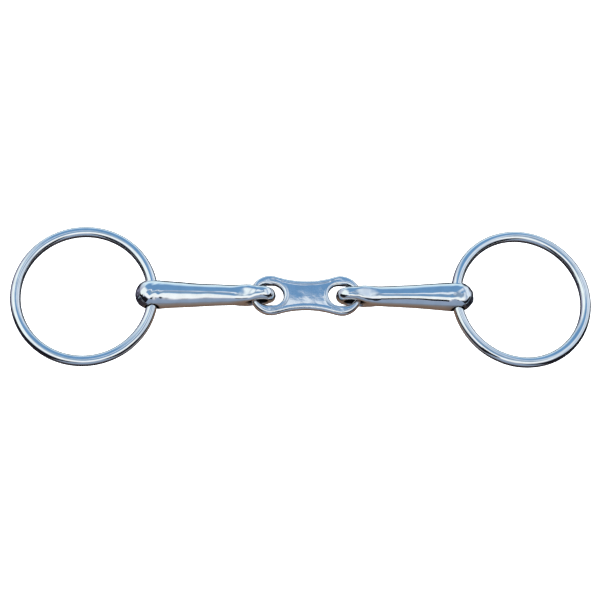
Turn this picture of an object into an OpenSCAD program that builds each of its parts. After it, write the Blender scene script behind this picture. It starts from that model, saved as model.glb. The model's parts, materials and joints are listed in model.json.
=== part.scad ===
// Double-jointed loose-ring snaffle bit, laid flat on a table.
// Origin: on the table under the middle of the link. +X runs along the
// mouthpiece, +Z is up. Every hinge axis runs along Y.

/* [Mouthpiece] */
// Width between the rings with the mouthpiece drawn out straight
mouth_w = 140; // [130:1:150]
// Diameter of a cannon beside its ring
fat_d = 13; // [12.5:0.5:15]
// Diameter of a cannon beside its eye
neck_d = 9; // [8:0.5:9.5]
// Diameter of the ring hole across a cannon
ring_hole_d = 6.2; // [6.2:0.1:6.6]

/* [Cannon eye] */
// Height of the eye, which stands upright
eye_d = 13; // [12.5:0.5:13]
// Width of the eye across the mouthpiece
eye_w = 7; // [6.5:0.5:8]
// Height of the slot that holds the link's end bar
slot_h = 5.6; // [5.4:0.1:5.8]
// Length of the slot between the centres of its round ends
slot_run = 3.45; // [2.5:0.05:4]

/* [Link] */
// Distance between the centres of the link's two round ends
lobe_pitch = 31; // [28:1:34]
// Diameter of each round end
lobe_d = 18.4; // [17.5:0.1:19]
// Thickness of the round ends
lobe_t = 4.4; // [4:0.1:4.5]
// Thickness of the plate between them
plate_t = 4; // [3.5:0.1:4.1]
// Width of the plate at its waist
waist_w = 13.4; // [12:0.2:15]
// Width of the eyes in the link
link_eye_w = 9.6; // [9.2:0.1:10]
// Distance between the round ends of one link eye
link_eye_run = 2.45; // [1.5:0.05:3]
// Thickness of the bar that closes each eye
end_bar = 2.7; // [2.5:0.1:3]

/* [Rings] */
// Outside diameter of a ring
ring_od = 65; // [60:1:75]
// Diameter of the ring's wire
wire_d = 5; // [4.5:0.1:5]

/* [Hidden] */
$fn = 96;
STEEL = "lightsteelblue";
CUT = 1;        // how far a cutting shape runs past a face
ARC_STEPS = 8;  // straight steps in a quarter round

// Heights: the mouthpiece's axis lies half a cannon above the table
axis_z = fat_d / 2;

// Link, measured outwards from its middle
lobe_x = lobe_pitch / 2;
link_end_x = lobe_x + lobe_d / 2;
bar_x = link_end_x - end_bar / 2;
link_eye_out_x = link_end_x - end_bar - link_eye_w / 2;
link_eye_in_x = link_eye_out_x - link_eye_run;
EYE_EDGE = 0.6;     // bevel on the edges of a link eye
SIDE_R = 40;        // radius of the hollow along each side of the plate
PLATE_ROUND = 1.9;  // rounding of the plate's long edges
PLATE_TUCK = 1.5;   // how far the plate's ends stop short of the lobes' centres
PLATE_INSET = 0.5;  // how far its corners stay inside the lobes

// Cannon eye: as laid, the link's bar sits in the outer end of the slot
slot_out_x = bar_x;
slot_in_x = slot_out_x - slot_run;
EYE_CROWN = 7;       // half height of the oval section, before the side view trims it
eye_oval = eye_w / 2 / EYE_CROWN;
SHOULDER_R = 1.8;    // rounding where the arm starts, just past the slot
SHOULDER_GAP = 0.5;  // from the slot's outer end to that start
shoulder_x = slot_out_x + slot_h / 2 + SHOULDER_GAP;
neck_x = shoulder_x + SHOULDER_R;
EYE_BLEND = 3;       // how far past the shoulder the eye still stands proud
EYE_SINK = 0.4;      // how far under the neck's surface the eye's end lies
EYE_STEP = 0.05;     // keeps the eye's flat sides just under its round tip
SLOT_FLARE = 1.2;    // how much wider the slot is at its mouths, all round
FLARE_DEPTH = 1.5;   // how deep that flare goes

// Play between the bar and the slot's inner end, taken up when drawn straight
joint_play = slot_run + slot_h / 2 - end_bar / 2;

// Ring and ring hole. The wire bows across the cannon by ring_bow, so the
// swing axis runs through the middle of that bow.
ring_r = (ring_od - wire_d) / 2;
ring_bow = ring_r - sqrt(ring_r * ring_r - fat_d * fat_d / 4);
wire_x = mouth_w / 2 + wire_d / 2 - joint_play;
swing_x = wire_x + ring_bow / 2;
ring_reach = 2 * ring_r - ring_bow / 2;
HOLE_FLARE = 0.6;  // how much wider the ring hole is at its mouths, all round
MOUTH_DEPTH = 1;   // how deep that flare goes
END_WALL = 7.5;    // from the swing axis to the blunt end of the cannon

// The far side of a ring rests on the table
droop = asin((axis_z - wire_d / 2) / ring_reach);

// Cannon outline, from its rounded inner end to its ball end
ball_x = swing_x + END_WALL - fat_d / 2;
TAPER_POWER = 1.6;  // how late the taper swells towards the ball end
TAPER_STEPS = 14;
BALL_LEAD = 4;      // how far before the ball's centre the arm is full width
taper_len = ball_x - BALL_LEAD - neck_x;

function taper_r(u) = neck_d / 2 + (fat_d - neck_d) / 2 * pow(u, TAPER_POWER);
function arc(cx, cy, r, from, to, steps) =
    [for (i = [0:steps]) let (a = from + (to - from) * i / steps) [cx + r * cos(a), cy + r * sin(a)]];

// Solid turned about the X axis from an outline of [x, radius] points
module turn_x(outline) {
    rotate([0, 90, 0])
        rotate_extrude()
            polygon([for (p = outline) [p[1], p[0]]]);
}

// Round disc lying flat, with a full round edge
module round_disc(d, t) {
    rotate_extrude()
        polygon(concat([[0, -t / 2]], arc(d / 2 - t / 2, 0, t / 2, -90, 90, 2 * ARC_STEPS), [[0, t / 2]]));
}

// Slot with round ends between two points on the X axis, cut along Z
module slot_z(x1, x2, d, h) {
    translate([x1, 0, -h / 2])
        cylinder(d = d, h = h);
    translate([x2, 0, -h / 2])
        cylinder(d = d, h = h);
    translate([x1, -d / 2, -h / 2])
        cube([x2 - x1, d, h]);
}

// Flare at one mouth of the same slot, growing upwards from its start
module slot_flare_z(x1, x2, d, grow, h) {
    for (x = [x1, x2])
        translate([x, 0, 0])
            cylinder(d1 = d, d2 = d + 2 * grow, h = h);
    translate([x1, 0, 0])
        rotate([90, 0, 90])
            linear_extrude(x2 - x1)
                polygon([[-d / 2, 0], [d / 2, 0], [d / 2 + grow, h], [-d / 2 - grow, h]]);
}

// Slot for the link's end bar, across the eye and flared at both sides
module link_slot() {
    rotate([90, 0, 0]) {
        slot_z(slot_in_x, slot_out_x, slot_h, eye_w + 2 * CUT);
        for (side = [0, 1])
            mirror([0, 0, side])
                translate([0, 0, eye_w / 2 - FLARE_DEPTH])
                    slot_flare_z(slot_in_x, slot_out_x, slot_h, 2 * SLOT_FLARE, 2 * FLARE_DEPTH);
    }
}

// The turned arm: a slim neck that swells to a ball end
module cannon_arm() {
    shoulder = arc(neck_x, neck_d / 2 - SHOULDER_R, SHOULDER_R, 180, 100, ARC_STEPS);
    taper = [for (i = [0:TAPER_STEPS]) [neck_x + taper_len * i / TAPER_STEPS, taper_r(i / TAPER_STEPS)]];
    ball = arc(ball_x, 0, fat_d / 2, 90, 0, 2 * ARC_STEPS);
    turn_x(concat([[shoulder_x, 0]], shoulder, taper, ball));
}

// The upright eye: its side view, thinned to an oval section
module cannon_eye() {
    intersection() {
        rotate([90, 0, 0])
            translate([0, 0, -eye_w / 2])
                linear_extrude(eye_w)
                    eye_outline();
        scale([1, eye_oval, 1])
            turn_x(concat(
                arc(slot_in_x, 0, EYE_CROWN, 180, 90, 2 * ARC_STEPS),
                [[neck_x + EYE_BLEND, (neck_d - EYE_SINK) / 2 / eye_oval], [neck_x + EYE_BLEND, 0]]
            ));
    }
}

// Side view of the eye, round at the tip and narrowing to the neck
module eye_outline() {
    translate([slot_in_x, 0])
        circle(d = eye_d);
    polygon([
        [slot_in_x, -eye_d / 2 + EYE_STEP],
        [neck_x + EYE_BLEND, -neck_d / 2 + EYE_SINK],
        [neck_x + EYE_BLEND, neck_d / 2 - EYE_SINK],
        [slot_in_x, eye_d / 2 - EYE_STEP]
    ]);
}

// Ring hole along Y with flared mouths
module ring_hole() {
    translate([swing_x, 0, 0])
        rotate([90, 0, 0]) {
            cylinder(d = ring_hole_d, h = fat_d + 2 * CUT, center = true);
            for (side = [0, 180])
                rotate([side, 0, 0])
                    translate([0, 0, fat_d / 2 - MOUTH_DEPTH])
                        cylinder(d1 = ring_hole_d, d2 = ring_hole_d + 4 * HOLE_FLARE, h = 2 * MOUTH_DEPTH);
        }
}

// One cannon on the +X side, with its axis along X
module cannon() {
    difference() {
        union() {
            cannon_arm();
            cannon_eye();
        }
        link_slot();
        ring_hole();
    }
}

// One ring on the +X side, drooping until its far side is on the table
module ring() {
    translate([swing_x, 0, 0])
        rotate([0, droop, 0])
            translate([ring_r - ring_bow / 2, 0, 0])
                rotate_extrude()
                    translate([ring_r, 0])
                        circle(d = wire_d, $fn = 48);
}

// Cutter for one hollow side of the plate, leaving a rounded edge
module side_cutter() {
    edge_r = SIDE_R + PLATE_ROUND;
    translate([0, waist_w / 2 + SIDE_R, 0])
        rotate_extrude($fn = 240)
            polygon(concat(
                [[0, -plate_t], [edge_r, -plate_t]],
                arc(edge_r, 0, PLATE_ROUND, 270, 90, 2 * ARC_STEPS),
                [[edge_r, plate_t], [0, plate_t]]
            ));
}

// Plate between the two round ends, with hollow sides
module link_plate() {
    difference() {
        cube([2 * (lobe_x - PLATE_TUCK), lobe_d - 2 * PLATE_INSET, plate_t], center = true);
        side_cutter();
        mirror([0, 1, 0])
            side_cutter();
    }
}

// Oval eye in the link with bevelled edges
module link_eye() {
    slot_z(link_eye_in_x, link_eye_out_x, link_eye_w, lobe_t + 2 * CUT);
    for (side = [0, 1])
        mirror([0, 0, side])
            translate([0, 0, lobe_t / 2 - EYE_EDGE])
                slot_flare_z(link_eye_in_x, link_eye_out_x, link_eye_w, 2 * EYE_EDGE, 2 * EYE_EDGE);
}

module french_link() {
    color(STEEL)
        translate([0, 0, axis_z])
            difference() {
                union() {
                    link_plate();
                    for (side = [-1, 1])
                        translate([side * lobe_x, 0, 0])
                            round_disc(lobe_d, lobe_t);
                }
                link_eye();
                mirror([1, 0, 0])
                    link_eye();
            }
}

module right_cannon() {
    color(STEEL)
        translate([0, 0, axis_z])
            cannon();
}

module left_cannon() {
    mirror([1, 0, 0])
        right_cannon();
}

module right_ring() {
    color(STEEL)
        translate([0, 0, axis_z])
            ring();
}

module left_ring() {
    mirror([1, 0, 0])
        right_ring();
}

french_link();
left_cannon();
right_cannon();
left_ring();
right_ring();
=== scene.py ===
import json
import math

import bpy
import numpy as np
from mathutils import Matrix, Vector


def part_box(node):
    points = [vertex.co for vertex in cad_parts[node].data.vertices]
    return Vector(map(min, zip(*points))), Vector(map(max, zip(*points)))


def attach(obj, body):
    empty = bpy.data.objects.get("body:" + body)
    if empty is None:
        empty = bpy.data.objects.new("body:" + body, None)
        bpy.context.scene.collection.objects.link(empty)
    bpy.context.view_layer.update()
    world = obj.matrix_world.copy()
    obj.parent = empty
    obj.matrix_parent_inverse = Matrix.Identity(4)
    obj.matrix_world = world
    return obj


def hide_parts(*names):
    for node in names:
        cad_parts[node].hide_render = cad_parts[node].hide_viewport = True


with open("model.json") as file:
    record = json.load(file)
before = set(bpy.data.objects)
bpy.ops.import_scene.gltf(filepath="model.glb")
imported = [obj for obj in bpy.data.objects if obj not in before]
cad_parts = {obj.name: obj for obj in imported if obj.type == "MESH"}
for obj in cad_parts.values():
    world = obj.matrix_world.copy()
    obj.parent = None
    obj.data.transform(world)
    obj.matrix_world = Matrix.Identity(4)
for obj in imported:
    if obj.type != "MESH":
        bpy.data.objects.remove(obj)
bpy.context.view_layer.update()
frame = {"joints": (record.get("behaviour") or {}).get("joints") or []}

MM = 0.001

# ---------------------------------------------------------------- camera
VIEW_AZIMUTH = -16.6      # degrees, 0 looks along +Y
VIEW_ELEVATION = 69.3
VIEW_ROLL = 16.0
VIEW_DISTANCE = 0.774
VIEW_TARGET = Vector((-0.0027, -0.0020, 0.0065))
VIEW_LENS = 105.0


def add_camera():
    """Camera above and a little to the left, rolled so that the mouthpiece lies level."""
    az, el, roll = (math.radians(a) for a in (VIEW_AZIMUTH, VIEW_ELEVATION, VIEW_ROLL))
    away = Vector((math.sin(az) * math.cos(el), -math.cos(az) * math.cos(el), math.sin(el)))
    right = (-away).cross(Vector((0, 0, 1))).normalized()
    up = right.cross(-away)
    cos, sin = math.cos(roll), math.sin(roll)
    right, up = right * cos + up * sin, up * cos - right * sin
    data = bpy.data.cameras.new("camera")
    data.lens = VIEW_LENS
    data.clip_start = 0.01
    cam = bpy.data.objects.new("camera", data)
    axes = Matrix((right, up, away)).transposed().to_4x4()
    cam.matrix_world = Matrix.Translation(VIEW_TARGET + away * VIEW_DISTANCE) @ axes
    bpy.context.scene.collection.objects.link(cam)
    bpy.context.scene.camera = cam


# ---------------------------------------------------------------- sizes from the frame, in millimetres
def mm_box(node):
    lo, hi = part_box(node)
    return np.array(lo) / MM, np.array(hi) / MM


def joint_pos(name):
    joint = next(j for j in frame["joints"] if j["name"] == name)
    return np.array(joint["pos_m"]) / MM


link_lo, link_hi = mm_box("french_link")
arm_lo, arm_hi = mm_box("right_cannon")
ring_lo, ring_hi = mm_box("right_ring")
bar = joint_pos("right_fold")
swing = joint_pos("right_ring_swing")

# Cannon
AXIS_Z = bar[2]
FAT_R = AXIS_Z
NECK_R = 4.5
DENT_ROOM = 0.06            # room left for the polishing marks inside the CAD box
BALL_X = arm_hi[0] - FAT_R
SLOT_R = 2.8
SLOT_FLARE = 0.45           # growth of the slot's radius for each step towards its mouths
SLOT_STRAIGHT = 2.0         # half width over which the slot keeps its size
SLOT_LIP = 0.8              # rounding of the slot's mouths
RING_HOLE_R = 3.0
RING_HOLE_LIP = 0.6
ARM_START_X = bar[0] + SLOT_R + 0.5
ARM_START_ROUND = 2.0
TAPER_X = (bar[0] + SLOT_R + 2.3, BALL_X - 4)
TAPER_POWER = 1.6

# Eye at the cannon's inner end
EYE_R = FAT_R
EYE_X = arm_lo[0] + EYE_R
EYE_HALF_W = 3.0
EYE_ROUND = 2.8
EYE_SHOULDER_X = (EYE_X + 0.5, EYE_X + 12.5)
EYE_SHOULDER = 2.1          # half height that the eye loses along its shoulder
EYE_SWELL_X = (EYE_X, EYE_X + 7)
EYE_SWELL = 1.1             # half width that it gains towards the neck
EYE_SINK_X = (EYE_X + 9, EYE_X + 17)
EYE_SINK_Y = 1.2            # half width and half height that it then loses inside the neck
EYE_SINK_Z = 1.1
EYE_END_X = EYE_X + 18
EYE_FILLET = 0.9

# Link
LINK_END = link_hi[0]
LOBE_R = link_hi[1]
LOBE_X = LINK_END - LOBE_R
LOBE_HALF_T = (link_hi[2] - link_lo[2]) / 2
LINK_EYE_R = 4.8
END_BAR = 2 * (LINK_END - bar[0])
LINK_EYE_OUT = LINK_END - END_BAR - LINK_EYE_R
LINK_EYE_IN = LINK_EYE_OUT - 2.45
LINK_EYE_ROUND = 1.5
LINK_EDGE_ROUND = 1.7
WAIST_HALF = 6.7
SIDE_R = 40.0
PLATE_X = (LOBE_X + 1, LOBE_X - 3)
PLATE_RIM = (1.3, 2.4)      # how far in from the edge the rim starts and stops to fall
PLATE_DISH = 0.2            # how far each face lies below the rim
PLATE_CROWN = 0.2           # how far each face falls from its middle to the waist's sides

# Ring
WIRE_R = 2.5
RING_R = (ring_hi[1] - ring_lo[1]) / 2 - WIRE_R
RING_STEPS = (320, 40)      # around the ring, and around the wire
WIRE_ROOM = 0.07            # room left for the wire's unevenness inside the CAD box
WIRE_UNEVEN = 0.02
WIRE_FLATS = 0.03

# Marks of hand polishing on the cannon: depth and wavelength in millimetres
LONG_DENTS = (0.09, 5.5)
LONG_DENTS_SHAPE = np.array([0.22, 1, 1])
FINE_DENTS = (0.035, 3.6)
FINE_DENTS_SHAPE = np.array([0.5, 1, 1])
END_DENTS = ((0.05, 5), (0.09, 2.8))
END_DENTS_SINK = 0.06
ROUGH_BALL_X = (61, 69)
ROUGH_EYE_X = (30, 22)
ROUGH_EYE_SHARE = 0.5

# Fineness of the meshes
CANNON_PITCH = 0.3
LINK_PITCH = 0.27
SETTLE_ROUNDS = 8


# ---------------------------------------------------------------- distance fields
def smooth_min(a, b, k):
    """Union of two solids with a fillet about k wide."""
    h = np.clip(0.5 + 0.5 * (b - a) / k, 0, 1)
    return b + (a - b) * h - k * h * (1 - h)


def round_max(a, b, r):
    """Intersection of two solids whose shared edge is rounded to radius r."""
    u = np.maximum(a + r, 0)
    v = np.maximum(b + r, 0)
    return np.minimum(np.maximum(a, b), -r) + np.hypot(u, v)


def slot_2d(u, v, u1, u2, r):
    """Distance to a slot with round ends along u."""
    return np.hypot(u - np.clip(u, u1, u2), v) - r


def step(edge0, edge1, x):
    """Smooth rise from zero at the first edge to one at the second."""
    t = np.clip((x - edge0) / (edge1 - edge0), 0, 1)
    return t * t * (3 - 2 * t)


def ripple(p, length, seed):
    """Smooth unevenness of about -1 to 1 with the given wavelength."""
    rng = np.random.default_rng(seed)
    total = 0
    for _ in range(5):
        way = rng.normal(size=3)
        way *= 2 * math.pi / (length * rng.uniform(0.7, 1.4) * np.linalg.norm(way))
        total = total + np.sin(p @ way + rng.uniform(0, 2 * math.pi))
    return total / 3


def arm_radius(x):
    u = np.clip((x - TAPER_X[0]) / (TAPER_X[1] - TAPER_X[0]), 0, 1)
    return NECK_R + (FAT_R - DENT_ROOM - NECK_R) * u ** TAPER_POWER


def cannon_field(p, seed):
    """Cannon on the +X side, with heights measured from its axis."""
    x, y, z = p[:, 0], p[:, 1], p[:, 2]
    r = np.hypot(y, z)
    ball = np.hypot(x - BALL_X, r) - FAT_R + DENT_ROOM
    arm = np.where(x > BALL_X, ball, r - arm_radius(x))
    arm = round_max(arm, ARM_START_X - x, ARM_START_ROUND)
    # upright eye: round in side view and in section, fading into the neck
    sink = step(*EYE_SINK_X, x)
    half_y = EYE_HALF_W + EYE_SWELL * step(*EYE_SWELL_X, x) - EYE_SINK_Y * sink
    half_z = EYE_R - EYE_SHOULDER * step(*EYE_SHOULDER_X, x) - EYE_SINK_Z * sink
    side = np.hypot(np.minimum(x - EYE_X, 0), z) - half_z
    eye = round_max(np.abs(y) - half_y, side, EYE_ROUND)
    eye = np.maximum(eye, x - EYE_END_X)
    body = smooth_min(arm, eye, EYE_FILLET)
    # long and fine dents everywhere, and rougher ones at both ends
    depth, length = LONG_DENTS
    body = body + depth * ripple(p * LONG_DENTS_SHAPE, length, seed)
    depth, length = FINE_DENTS
    body = body + depth * ripple(p * FINE_DENTS_SHAPE, length, seed + 3)
    rough = step(*ROUGH_BALL_X, x) + ROUGH_EYE_SHARE * step(*ROUGH_EYE_X, x)
    dents = END_DENTS_SINK
    for n, (depth, length) in enumerate(END_DENTS):
        dents = dents + depth * ripple(p, length, seed + 1 + n)
    body = body + rough * dents
    # slot for the link and hole for the ring
    flare = SLOT_FLARE * np.maximum(np.abs(y) - SLOT_STRAIGHT, 0)
    slot = slot_2d(x, z, EYE_X, bar[0], SLOT_R + flare) / math.hypot(1, SLOT_FLARE)
    body = round_max(body, -slot, SLOT_LIP)
    hole = np.hypot(x - swing[0], z) - RING_HOLE_R
    return round_max(body, -hole, RING_HOLE_LIP)


def link_field(p, seed):
    """Link with heights measured from its middle plane."""
    x, y, z = np.abs(p[:, 0]), np.abs(p[:, 1]), p[:, 2]
    lobe = np.hypot(x - LOBE_X, y) - LOBE_R
    waist = SIDE_R - np.hypot(x, y - WAIST_HALF - SIDE_R)
    waist = np.maximum(waist, x - LOBE_X * SIDE_R / (SIDE_R + LOBE_R))
    outline = np.minimum(lobe, waist)
    hole = slot_2d(x, y, LINK_EYE_IN, LINK_EYE_OUT, LINK_EYE_R)
    inset = np.minimum(-outline, hole)
    fall = PLATE_DISH * step(*PLATE_RIM, inset) + PLATE_CROWN * (y / WAIST_HALF) ** 2
    half_t = LOBE_HALF_T - step(*PLATE_X, x) * fall
    body = round_max(outline, np.abs(z) - half_t, LINK_EDGE_ROUND)
    body = round_max(body, -hole, LINK_EYE_ROUND)
    return body + 0.035 * ripple(p, 8, seed) + 0.008 * ripple(p, 2.5, seed + 1)


# ---------------------------------------------------------------- meshes from fields
def surface_net(field, lo, hi, pitch):
    """Vertices and quads of the surface where the field is zero."""
    axes = [np.arange(a - 2 * pitch, b + 3 * pitch, pitch) for a, b in zip(lo, hi)]
    shape = tuple(len(a) for a in axes)
    grid = np.stack(np.meshgrid(*axes, indexing="ij"), axis=-1)
    dist = field(grid.reshape(-1, 3)).reshape(shape)
    cells = tuple(n - 1 for n in shape)
    total = np.zeros(cells + (3,))
    count = np.zeros(cells)
    corners = [(i, j, k) for i in (0, 1) for j in (0, 1) for k in (0, 1)]

    def part(a, c):
        return a[c[0]:c[0] + cells[0], c[1]:c[1] + cells[1], c[2]:c[2] + cells[2]]

    for c in corners:
        for axis in range(3):
            if c[axis]:
                continue
            d = tuple(v + (i == axis) for i, v in enumerate(c))
            da, db = part(dist, c), part(dist, d)
            cross = (da < 0) != (db < 0)
            t = np.where(cross, da / np.where(cross, da - db, 1), 0)[..., None]
            point = part(grid, c) * (1 - t) + part(grid, d) * t
            total += np.where(cross[..., None], point, 0)
            count += cross
    used = count > 0
    index = np.full(cells, -1)
    index[used] = np.arange(used.sum())
    verts = total[used] / count[used][:, None]
    quads = []
    for axis in range(3):
        u, v = (axis + 1) % 3, (axis + 2) % 3
        near = np.take(dist, range(shape[axis] - 1), axis) < 0
        far = np.take(dist, range(1, shape[axis]), axis) < 0
        where = np.argwhere(near != far)
        inside = near[tuple(where.T)]
        around = []
        for du, dv in ((-1, -1), (0, -1), (0, 0), (-1, 0)):
            cell = where.copy()
            cell[:, u] += du
            cell[:, v] += dv
            around.append(index[tuple(cell.T)])
        quad = np.stack(around, axis=1)
        quad[~inside] = quad[~inside][:, ::-1]
        quads.append(quad)
    return verts, np.concatenate(quads)


def gradient(field, p):
    reach = 0.02
    out = np.empty_like(p)
    for axis in range(3):
        off = np.zeros(3)
        off[axis] = reach
        out[:, axis] = (field(p + off) - field(p - off)) / (2 * reach)
    return out


def settle(field, verts, quads, rounds):
    """Evens out the quads and puts every vertex exactly on the surface."""
    edges = np.concatenate([quads[:, [i, (i + 1) % 4]] for i in range(4)])
    for n in range(rounds):
        total = np.zeros_like(verts)
        count = np.zeros(len(verts))
        np.add.at(total, edges[:, 0], verts[edges[:, 1]])
        np.add.at(count, edges[:, 0], 1)
        if n < rounds - 2:
            verts = verts * 0.4 + 0.6 * total / count[:, None]
        g = gradient(field, verts)
        verts = verts - g * (field(verts) / np.maximum((g * g).sum(axis=1), 0.2))[:, None]
    return verts


def add_mesh(name, verts, faces, mirror):
    """Blender mesh from millimetre points, mirrored to the -X side if asked."""
    if mirror:
        verts = verts * np.array([-1, 1, 1])
        faces = faces[:, ::-1]
    mesh = bpy.data.meshes.new(name)
    mesh.from_pydata((verts * MM).tolist(), [], faces.tolist())
    mesh.shade_smooth()
    mesh.update()
    obj = bpy.data.objects.new(name, mesh)
    bpy.context.scene.collection.objects.link(obj)
    return obj


def carved(name, field, lo, hi, pitch, mirror=False):
    """Mesh of a field whose heights are measured from the mouthpiece's axis."""
    verts, quads = surface_net(field, lo, hi, pitch)
    verts = settle(field, verts, quads, SETTLE_ROUNDS)
    return add_mesh(name, verts + np.array([0, 0, AXIS_Z]), quads, mirror)


def add_cannon(name, mirror, seed):
    lo = arm_lo - np.array([0, 0, AXIS_Z])
    hi = arm_hi - np.array([0, 0, AXIS_Z])
    return carved(name, lambda p: cannon_field(p, seed), lo, hi, CANNON_PITCH, mirror)


def add_link(seed):
    lo = link_lo - np.array([0, 0, AXIS_Z])
    hi = link_hi - np.array([0, 0, AXIS_Z])
    return carved("link_body", lambda p: link_field(p, seed), lo, hi, LINK_PITCH)


def add_ring(name, mirror, seed):
    """Round wire bent to a circle that droops until its far side rests on the table."""
    around, across = RING_STEPS
    bow = RING_R - math.sqrt(RING_R ** 2 - FAT_R ** 2)
    droop = math.asin((AXIS_Z - WIRE_R) / (2 * RING_R - bow / 2))
    t = np.repeat(np.arange(around) * 2 * math.pi / around, across)
    s = np.tile(np.arange(across) * 2 * math.pi / across, around)
    circle = np.stack([np.cos(t), np.sin(t), np.zeros_like(t)], axis=1)
    verts = circle * (RING_R + WIRE_R * np.cos(s))[:, None]
    verts[:, 2] = WIRE_R * np.sin(s)
    normal = circle * np.cos(s)[:, None]
    normal[:, 2] = np.sin(s)
    flats = np.cos(2 * s + 3 * ripple(circle * RING_R, 60, seed))
    uneven = WIRE_UNEVEN * ripple(verts, 16, seed)
    verts = verts - normal * (WIRE_ROOM + uneven + WIRE_FLATS * flats)[:, None]
    verts[:, 0] += RING_R - bow / 2
    c, d = math.cos(droop), math.sin(droop)
    x, y, z = verts.T
    verts = np.stack([x * c + z * d, y, z * c - x * d], axis=1) + swing
    i = np.arange(around)[:, None] * across
    j = np.arange(across)[None, :]
    next_i = (np.arange(around)[:, None] + 1) % around * across
    next_j = (j + 1) % across
    faces = np.stack([i + j, next_i + j, next_i + next_j, i + next_j], axis=-1).reshape(-1, 4)
    return add_mesh(name, verts, faces, mirror)


# ---------------------------------------------------------------- node helpers
STEEL_SHINE = 0.9     # share of light that the steel throws back


def mirrored(color):
    """Light that shows as this display colour (0 to 255) once the steel has mirrored it."""
    linear = [((c / 255 + 0.055) / 1.055) ** 2.4 if c > 10 else c / 255 / 12.92 for c in color]
    return (*[c / STEEL_SHINE for c in linear], 1)


def math_node(nt, operation, a, b=None):
    """Output of a Math node whose inputs are sockets or numbers."""
    node = nt.nodes.new("ShaderNodeMath")
    node.operation = operation
    for socket, value in zip(node.inputs, (a, b)):
        if isinstance(value, (int, float)):
            socket.default_value = float(value)
        elif value is not None:
            nt.links.new(value, socket)
    return node.outputs[0]


def map_range(nt, value, low, high, out_low, out_high):
    node = nt.nodes.new("ShaderNodeMapRange")
    node.inputs["From Min"].default_value = low
    node.inputs["From Max"].default_value = high
    node.inputs["To Min"].default_value = out_low
    node.inputs["To Max"].default_value = out_high
    nt.links.new(value, node.inputs["Value"])
    return node.outputs["Result"]


def color_ramp(nt, stops, low, high):
    """Input and output sockets of a ramp through (value, display colour) stops."""
    place = nt.nodes.new("ShaderNodeMapRange")
    place.inputs["From Min"].default_value = low
    place.inputs["From Max"].default_value = high
    ramp = nt.nodes.new("ShaderNodeValToRGB")
    nt.links.new(place.outputs["Result"], ramp.inputs[0])
    elements = ramp.color_ramp.elements
    elements.remove(elements[-1])
    for n, (value, color) in enumerate(stops):
        at = (value - low) / (high - low)
        element = elements[0] if n == 0 else elements.new(at)
        element.position = at
        element.color = mirrored(color)
    return place.inputs["Value"], ramp.outputs[0]


def mix_color(nt, share, a, b):
    node = nt.nodes.new("ShaderNodeMix")
    node.data_type = "RGBA"
    nt.links.new(share, node.inputs[0])
    nt.links.new(a, node.inputs[6])
    if isinstance(b, tuple):
        node.inputs[7].default_value = b
    else:
        nt.links.new(b, node.inputs[7])
    return node.outputs[2]


# ---------------------------------------------------------------- materials
HOLE_SHADE_COLOR = (0.02, 0.02, 0.022, 1)     # painted shade: near-black colour standing in for the shadow inside a hole
BORE_ROUGH = 0.35                       # roughness that the unpolished wall inside a hole has on top
HOLE_SHADE_FADE = (0.15, 0.55)                # distance past the wall over which the painted shade fades and the steel turns bright


def hole_shade_mask(nt, place):
    """One inside the cannons' ring holes and link slots, where shade is painted and the wall is left
    rough, and zero on their polished outside.
    """
    split = nt.nodes.new("ShaderNodeSeparateXYZ")
    nt.links.new(place, split.inputs[0])
    out = math_node(nt, "ABSOLUTE", split.outputs["X"])
    height = math_node(nt, "SUBTRACT", split.outputs["Z"], AXIS_Z * MM)
    height_squared = math_node(nt, "POWER", height, 2)

    def inside(along, radius):
        along_squared = math_node(nt, "POWER", along, 2)
        far = math_node(nt, "SQRT", math_node(nt, "ADD", along_squared, height_squared))
        fade_start, fade_end = ((radius + past) * MM for past in HOLE_SHADE_FADE)
        return map_range(nt, far, fade_start, fade_end, 1, 0)

    hole = inside(math_node(nt, "SUBTRACT", out, swing[0] * MM), RING_HOLE_R)
    clamped = math_node(nt, "MINIMUM", math_node(nt, "MAXIMUM", out, EYE_X * MM), bar[0] * MM)
    slot = inside(math_node(nt, "SUBTRACT", out, clamped), SLOT_R)
    return math_node(nt, "MAXIMUM", hole, slot)


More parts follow.
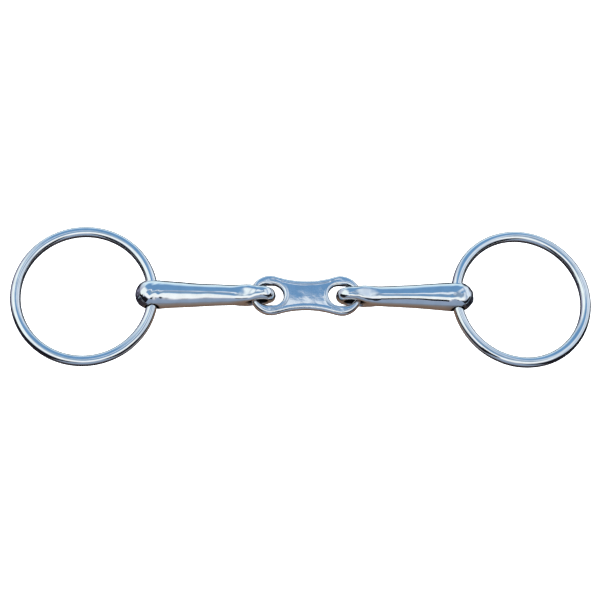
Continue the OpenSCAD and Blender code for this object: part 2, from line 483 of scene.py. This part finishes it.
def steel(name, color, rough, haze, streak, bump, shade_holes=False):
    """Polished stainless steel with fine wipe marks, faint haze and hand-polished waviness, and painted
    shade inside the holes when asked.
    """
    mat = bpy.data.materials.new(name)
    mat.use_nodes = True
    nt = mat.node_tree
    bsdf = nt.nodes["Principled BSDF"]
    bsdf.inputs["Metallic"].default_value = 1.0
    coords = nt.nodes.new("ShaderNodeTexCoord")

    def noise(scale, detail, stretch=None):
        node = nt.nodes.new("ShaderNodeTexNoise")
        node.inputs["Scale"].default_value = scale
        node.inputs["Detail"].default_value = detail
        if stretch:
            mapping = nt.nodes.new("ShaderNodeMapping")
            mapping.inputs["Scale"].default_value = stretch
            nt.links.new(coords.outputs["Object"], mapping.inputs["Vector"])
            nt.links.new(mapping.outputs["Vector"], node.inputs["Vector"])
        else:
            nt.links.new(coords.outputs["Object"], node.inputs["Vector"])
        return node.outputs["Fac"]

    cloudy = map_range(nt, noise(140, 3), 0.35, 0.75, rough, rough + haze)
    wipes = map_range(nt, noise(900, 2, streak), 0.55, 0.8, 0.0, 0.05)
    roughness = math_node(nt, "ADD", cloudy, wipes)

    tint = nt.nodes.new("ShaderNodeMix")
    tint.data_type = "RGBA"
    tint.inputs[6].default_value = (*color, 1)
    tint.inputs[7].default_value = (*[c * 0.9 for c in color], 1)
    nt.links.new(map_range(nt, noise(260, 4), 0.4, 0.8, 0.0, 1.0), tint.inputs[0])
    base = tint.outputs[2]
    # painted shade: near-black colour inside the ring holes and link slots in place of their shadow,
    # with extra roughness there
    if shade_holes:
        shade_share = hole_shade_mask(nt, coords.outputs["Object"])
        base = mix_color(nt, shade_share, base, HOLE_SHADE_COLOR)
        roughness = math_node(nt, "ADD", roughness, map_range(nt, shade_share, 0, 1, 0, BORE_ROUGH))
    nt.links.new(base, bsdf.inputs["Base Color"])
    nt.links.new(roughness, bsdf.inputs["Roughness"])

    waves = nt.nodes.new("ShaderNodeBump")
    waves.inputs["Strength"].default_value = bump
    waves.inputs["Distance"].default_value = 0.0002
    nt.links.new(noise(320, 2), waves.inputs["Height"])
    marks = nt.nodes.new("ShaderNodeBump")
    marks.inputs["Strength"].default_value = 0.12
    marks.inputs["Distance"].default_value = 0.00002
    nt.links.new(noise(1500, 3, streak), marks.inputs["Height"])
    nt.links.new(waves.outputs["Normal"], marks.inputs["Normal"])
    nt.links.new(marks.outputs["Normal"], bsdf.inputs["Normal"])
    return mat


def pale_floor():
    mat = bpy.data.materials.new("pale_floor")
    mat.use_nodes = True
    bsdf = mat.node_tree.nodes["Principled BSDF"]
    bsdf.inputs["Base Color"].default_value = (0.9, 0.9, 0.9, 1)
    bsdf.inputs["Roughness"].default_value = 0.9
    bsdf.inputs["Specular IOR Level"].default_value = 0.0
    bsdf.inputs["Emission Color"].default_value = (1, 1, 1, 1)
    bsdf.inputs["Emission Strength"].default_value = 0.9
    return mat


def warm_table():
    """Brown close under the mouthpiece, grey further off, and fading out at both ends."""
    mat = bpy.data.materials.new("warm_table")
    mat.use_nodes = True
    nt = mat.node_tree
    nt.nodes.clear()
    coords = nt.nodes.new("ShaderNodeTexCoord")
    split = nt.nodes.new("ShaderNodeSeparateXYZ")
    nt.links.new(coords.outputs["Object"], split.inputs[0])
    entry, tone = color_ramp(nt, WARM_TABLE, *TABLE_Y)
    nt.links.new(split.outputs["Y"], entry)
    glow = nt.nodes.new("ShaderNodeEmission")
    nt.links.new(tone, glow.inputs["Color"])
    fade = map_range(nt, math_node(nt, "ABSOLUTE", split.outputs["X"]), *TABLE_FADE, 0, 1)
    clear = nt.nodes.new("ShaderNodeBsdfTransparent")
    mix = nt.nodes.new("ShaderNodeMixShader")
    nt.links.new(fade, mix.inputs[0])
    nt.links.new(glow.outputs[0], mix.inputs[1])
    nt.links.new(clear.outputs[0], mix.inputs[2])
    out = nt.nodes.new("ShaderNodeOutputMaterial")
    nt.links.new(mix.outputs[0], out.inputs["Surface"])
    return mat


# ---------------------------------------------------------------- light
# What the steel mirrors on each side, by angle in degrees from straight up
SKY_BACK = [
    (0, (104, 146, 188)), (8, (106, 148, 190)), (11, (224, 236, 246)), (17, (222, 234, 246)),
    (21, (104, 148, 192)), (66, (102, 145, 190)), (78, (170, 205, 232)), (88, (214, 238, 250)),
    (104, (210, 234, 246)), (113, (110, 126, 142)), (121, (42, 46, 54)), (180, (34, 34, 40)),
]
SKY_LEFT = [
    (0, (120, 150, 182)), (16, (135, 160, 185)), (26, (232, 244, 250)), (66, (236, 248, 248)),
    (78, (200, 208, 222)), (94, (158, 162, 186)), (107, (118, 118, 140)), (115, (42, 40, 52)),
    (180, (34, 34, 40)),
]
SKY_RIGHT = [
    (0, (120, 150, 182)), (22, (132, 154, 180)), (30, (214, 228, 240)), (42, (198, 214, 232)),
    (50, (146, 170, 200)), (58, (226, 238, 248)), (88, (208, 224, 242)), (98, (96, 102, 118)),
    (110, (46, 48, 58)), (180, (34, 34, 40)),
]
SKY_FRONT = [
    (0, (102, 144, 186)), (15, (112, 152, 192)), (21, (236, 246, 250)), (44, (244, 248, 250)),
    (54, (150, 162, 184)), (62, (136, 154, 180)), (88, (132, 150, 174)), (100, (100, 100, 108)),
    (114, (50, 46, 50)), (180, (38, 36, 40)),
]
SIDE_BLEND = 0.08         # sideways part of a direction up to which left and right mix
BACK_BLEND = (132, 156)   # degrees away from the front where the sides turn into the back,
FRONT_BLEND = (78, 58)    # and where they turn into the front
SKYLINE = (20, 21, 28)
SKYLINE_TOP = 43          # degrees from straight up, in front
SKYLINE_FALL = 0.3        # degrees that its top sinks for each degree away from the front
SKYLINE_THIN = 1.5        # its depth in front, in degrees
SKYLINE_SPREAD = 30       # smaller makes it deepen faster to both sides
SKYLINE_FOOT = 112        # and it reaches no lower than this
SKYLINE_SOFT = 1.5        # half width of its soft edges
SKYLINE_START = (12, 18)  # degrees away from the front where it starts,
SKYLINE_END = (90, 108)   # and where it ends
BAR_DOWN = 48             # degrees from straight up to the dark card's middle
BAR_FAR = 0.15            # its distance in metres
BAR_X = (0.012, 0.072)    # its ends along X
BAR_DEEP = 0.027          # its depth
FLOOR_Z = (bar[0] - ring_hi[0]) * MM      # lower than an arm reaches when it hangs from the link
FLOOR_HALF = 6
LAMP_SIZE = 1.6
LAMP_POWER = 26
LAMP_PLACE = (0.1, -0.2, 1.4)
TABLE_X = (-0.08, 0.08)
TABLE_Y = (-0.09, 0.0)
TABLE_Z = -0.0002
TABLE_FADE = (0.062, 0.078)               # distance to either side where the table fades out
# Table colour by distance in front of the mouthpiece, in metres
WARM_TABLE = [
    (-0.090, (124, 132, 146)), (-0.040, (124, 124, 128)), (-0.020, (124, 112, 106)),
    (-0.010, (118, 98, 85)), (-0.003, (108, 90, 78)), (0.0, (70, 60, 54)),
]


def add_surround():
    """Sky, haze, dark skyline and ground for the steel to mirror, and plain white for the camera."""
    world = bpy.data.worlds.new("surround")
    bpy.context.scene.world = world
    world.use_nodes = True
    nt = world.node_tree

    def calc(operation, a, b=None):
        return math_node(nt, operation, a, b)

    coords = nt.nodes.new("ShaderNodeTexCoord")
    split = nt.nodes.new("ShaderNodeSeparateXYZ")
    nt.links.new(coords.outputs["Generated"], split.inputs[0])
    x, y, z = split.outputs
    front = calc("MULTIPLY", y, -1)
    down = calc("MULTIPLY", calc("ARCCOSINE", z), 180 / math.pi)
    aside = calc("MULTIPLY", calc("ARCTAN2", calc("ABSOLUTE", x), front), 180 / math.pi)
    views = {}
    skies = {"back": SKY_BACK, "left": SKY_LEFT, "right": SKY_RIGHT, "front": SKY_FRONT}
    for name, stops in skies.items():
        entry, views[name] = color_ramp(nt, stops, 0, 180)
        nt.links.new(down, entry)
    sides = mix_color(nt, map_range(nt, x, -SIDE_BLEND, SIDE_BLEND, 0, 1), views["left"], views["right"])
    color = mix_color(nt, map_range(nt, aside, *BACK_BLEND, 0, 1), sides, views["back"])
    color = mix_color(nt, map_range(nt, aside, *FRONT_BLEND, 0, 1), color, views["front"])
    # a dark skyline, thin in front and deeper to both sides
    top = calc("ADD", calc("MULTIPLY", aside, SKYLINE_FALL), SKYLINE_TOP)
    deep = calc("ADD", calc("DIVIDE", calc("POWER", aside, 2), SKYLINE_SPREAD), SKYLINE_THIN)
    foot = calc("MINIMUM", calc("ADD", top, deep), SKYLINE_FOOT)
    over = map_range(nt, calc("SUBTRACT", down, foot), -SKYLINE_SOFT, SKYLINE_SOFT, 1, 0)
    under = map_range(nt, calc("SUBTRACT", down, top), -SKYLINE_SOFT, SKYLINE_SOFT, 0, 1)
    start = map_range(nt, aside, *SKYLINE_START, 0, 1)
    end = map_range(nt, aside, *SKYLINE_END, 1, 0)
    line = calc("MULTIPLY", calc("MULTIPLY", over, under), calc("MULTIPLY", end, start))
    color = mix_color(nt, line, color, mirrored(SKYLINE))
    sky = nt.nodes["Background"]
    nt.links.new(color, sky.inputs[0])
    plain = nt.nodes.new("ShaderNodeBackground")
    plain.inputs[0].default_value = (1, 1, 1, 1)
    rays = nt.nodes.new("ShaderNodeLightPath")
    mix = nt.nodes.new("ShaderNodeMixShader")
    nt.links.new(rays.outputs["Is Camera Ray"], mix.inputs[0])
    nt.links.new(sky.outputs[0], mix.inputs[1])
    nt.links.new(plain.outputs[0], mix.inputs[2])
    nt.links.new(mix.outputs[0], nt.nodes["World Output"].inputs[0])


def add_lamp():
    """One wide soft lamp overhead. It lights the floor; the steel mirrors the surround instead."""
    data = bpy.data.lights.new("lamp", "AREA")
    data.size = LAMP_SIZE
    data.energy = LAMP_POWER
    lamp = bpy.data.objects.new("lamp", data)
    lamp.location = LAMP_PLACE
    aim = Vector((0, 0, 0)) - lamp.location
    lamp.rotation_euler = aim.to_track_quat("-Z", "Y").to_euler()
    lamp.visible_glossy = False
    bpy.context.scene.collection.objects.link(lamp)


def add_sheet(name, x1, x2, y1, y2, height, mat):
    """Flat rectangle that belongs to the scene and not to the part."""
    mesh = bpy.data.meshes.new(name)
    mesh.from_pydata([(x1, y1, 0), (x2, y1, 0), (x2, y2, 0), (x1, y2, 0)], [], [(0, 1, 2, 3)])
    sheet = bpy.data.objects.new(name, mesh)
    sheet.data.materials.append(mat)
    sheet.location.z = height
    bpy.context.scene.collection.objects.link(sheet)
    return sheet


def show_in_steel_only(sheet):
    sheet.visible_camera = False
    sheet.visible_diffuse = False
    sheet.visible_shadow = False


def add_dark_bar():
    """Dark card high in front, which only the steel mirrors, as a line along the right arm."""
    mat = bpy.data.materials.new("dark_bar")
    mat.use_nodes = True
    bsdf = mat.node_tree.nodes["Principled BSDF"]
    bsdf.inputs["Base Color"].default_value = (0, 0, 0, 1)
    bsdf.inputs["Specular IOR Level"].default_value = 0.0
    bsdf.inputs["Emission Color"].default_value = mirrored(SKYLINE)
    bsdf.inputs["Emission Strength"].default_value = 1.0
    down = math.radians(BAR_DOWN)
    card = add_sheet("dark_bar", *BAR_X, -BAR_DEEP / 2, BAR_DEEP / 2, 0, mat)
    card.location = (0, -BAR_FAR * math.sin(down), BAR_FAR * math.cos(down))
    card.rotation_euler = (down, 0, 0)
    show_in_steel_only(card)


def add_floor():
    """White floor, which the steel doesn't mirror, and a warm table, which only the steel does."""
    ends = (-FLOOR_HALF, FLOOR_HALF)
    floor = add_sheet("floor", *ends, *ends, FLOOR_Z, pale_floor())
    floor.visible_glossy = False
    table = add_sheet("table", *TABLE_X, *TABLE_Y, TABLE_Z, warm_table())
    show_in_steel_only(table)


# ---------------------------------------------------------------- the bit
add_camera()
add_surround()
add_lamp()
add_floor()
add_dark_bar()
bpy.context.scene.view_settings.view_transform = "Standard"

# the cannons get painted shade inside their ring holes and link slots
cannon_steel = steel("cannon_steel", (0.90, 0.90, 0.90), 0.02, 0.025, (0.15, 1, 1), 0.08, shade_holes=True)
ring_steel = steel("ring_steel", (0.90, 0.90, 0.90), 0.02, 0.025, (0.3, 0.3, 1), 0.06)
link_steel = steel("link_steel", (0.88, 0.88, 0.89), 0.08, 0.08, (1, 0.2, 1), 0.35)

PIECES = [
    (add_link(7), "french_link", "link", "link_steel", link_steel),
    (add_cannon("right_arm_body", False, 11), "right_cannon", "right_arm", "cannon_steel", cannon_steel),
    (add_cannon("left_arm_body", True, 23), "left_cannon", "left_arm", "cannon_steel", cannon_steel),
    (add_ring("right_ring_wire", False, 31), "right_ring", "right_loose_ring", "ring_steel", ring_steel),
    (add_ring("left_ring_wire", True, 47), "left_ring", "left_loose_ring", "ring_steel", ring_steel),
]
for piece, node, body, slot, mat in PIECES:
    piece.data.materials.append(mat)
    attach(piece, body)
    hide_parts(node)
